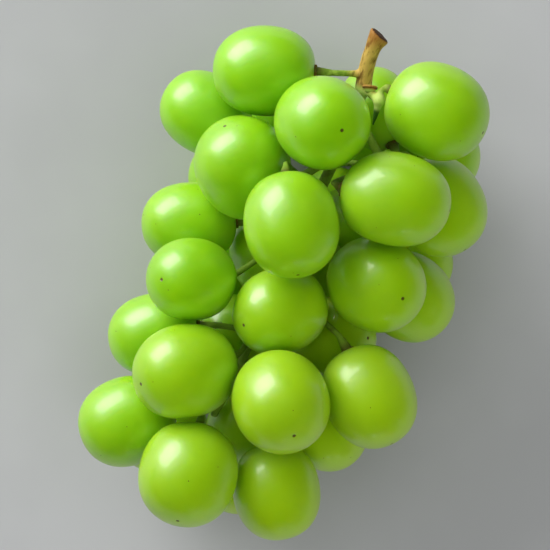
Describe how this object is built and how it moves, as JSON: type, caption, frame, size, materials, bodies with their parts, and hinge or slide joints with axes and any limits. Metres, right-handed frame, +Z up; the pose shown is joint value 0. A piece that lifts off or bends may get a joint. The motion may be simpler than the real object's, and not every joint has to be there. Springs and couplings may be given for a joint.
{
  "type": "bunch of grapes",
  "caption": "Bunch of large round-oval green table grapes on a branching woody stem, lying on its side.",
  "frame": {"origin": "centre of the bunch's box on the surface that it lies on", "axes": "+Y along the bunch towards the cut stem, +Z up from the surface, +X to the right when seen from above with the stem at the top"},
  "size_m": [0.1038, 0.15, 0.093],
  "materials": {
    "berry_skin": "smooth taut translucent yellow-green fruit skin, softly glossy under a thin pale bloom, with tiny brown specks",
    "stem_bark": "matt stalk, tan-brown and lightly ridged at the cut peduncle, turning green towards the pedicels"
  },
  "bodies": {
    "root": {"berry_inner_1": "berry_skin", "berry_inner_2": "berry_skin", "berry_inner_3": "berry_skin", "berry_inner_4": "berry_skin", "berry_inner_5": "berry_skin", "berry_side_1": "berry_skin", "berry_side_10": "berry_skin", "berry_side_2": "berry_skin", "berry_side_3": "berry_skin", "berry_side_4": "berry_skin", "berry_side_5": "berry_skin", "berry_side_6": "berry_skin", "berry_side_7": "berry_skin", "berry_side_8": "berry_skin", "berry_side_9": "berry_skin", "berry_under_1": "berry_skin", "berry_under_10": "berry_skin", "berry_under_11": "berry_skin", "berry_under_2": "berry_skin", "berry_under_3": "berry_skin", "berry_under_4": "berry_skin", "berry_under_5": "berry_skin", "berry_under_6": "berry_skin", "berry_under_7": "berry_skin", "berry_under_8": "berry_skin", "berry_under_9": "berry_skin", "berry_upper_1": "berry_skin", "berry_upper_10": "berry_skin", "berry_upper_11": "berry_skin", "berry_upper_12": "berry_skin", "berry_upper_13": "berry_skin", "berry_upper_14": "berry_skin", "berry_upper_2": "berry_skin", "berry_upper_3": "berry_skin", "berry_upper_4": "berry_skin", "berry_upper_5": "berry_skin", "berry_upper_6": "berry_skin", "berry_upper_7": "berry_skin", "berry_upper_8": "berry_skin", "berry_upper_9": "berry_skin", "stem": "stem_bark"}
  },
  "joints": []
}
